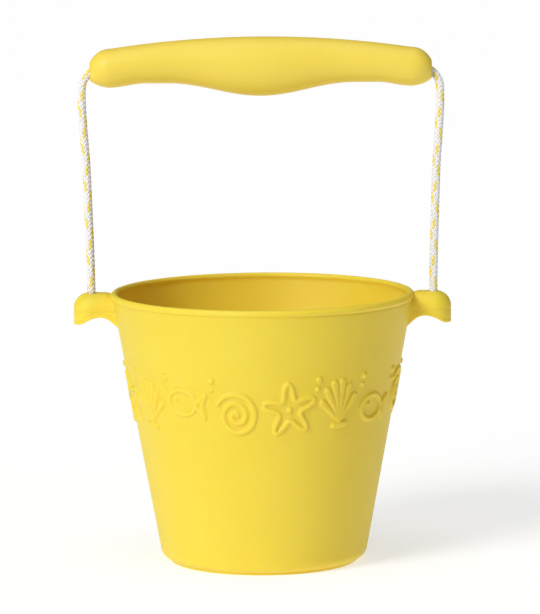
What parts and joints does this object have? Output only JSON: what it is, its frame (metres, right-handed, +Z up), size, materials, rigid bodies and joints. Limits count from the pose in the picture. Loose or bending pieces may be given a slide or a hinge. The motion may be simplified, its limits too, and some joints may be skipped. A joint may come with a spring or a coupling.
{
  "type": "sand bucket",
  "caption": "Soft tapered sand bucket with two hollow side lugs, a braided rope bail and a shaped two-shell hand grip.",
  "frame": {"origin": "centre of the foot ring, on the ground under the upright bucket", "axes": "+X from the middle to the right lug, -Y is the front, +Z up through the grip"},
  "size_m": [0.1824, 0.1466, 0.2541],
  "materials": {
    "silicone": "matte",
    "rope": "woven",
    "grip": "satin"
  },
  "bodies": {
    "bucket": {"bucket_body": "silicone", "left_knot": "rope", "right_knot": "rope"},
    "bail": {"rope": "rope"},
    "grip": {"grip_front_shell": "grip", "grip_back_shell": "grip"}
  },
  "joints": [
    {"name": "bail_swing", "type": "hinge", "parent": "bucket", "child": "bail", "pos_m": [0, 0, 0.1308], "axis": [1, 0, 0], "range_deg": [-135, 135], "deforming": ["rope"]},
    {"name": "grip_spin", "type": "hinge", "parent": "bail", "child": "grip", "pos_m": [0, 0, 0.2379], "axis": [1, 0, 0], "continuous": true}
  ]
}
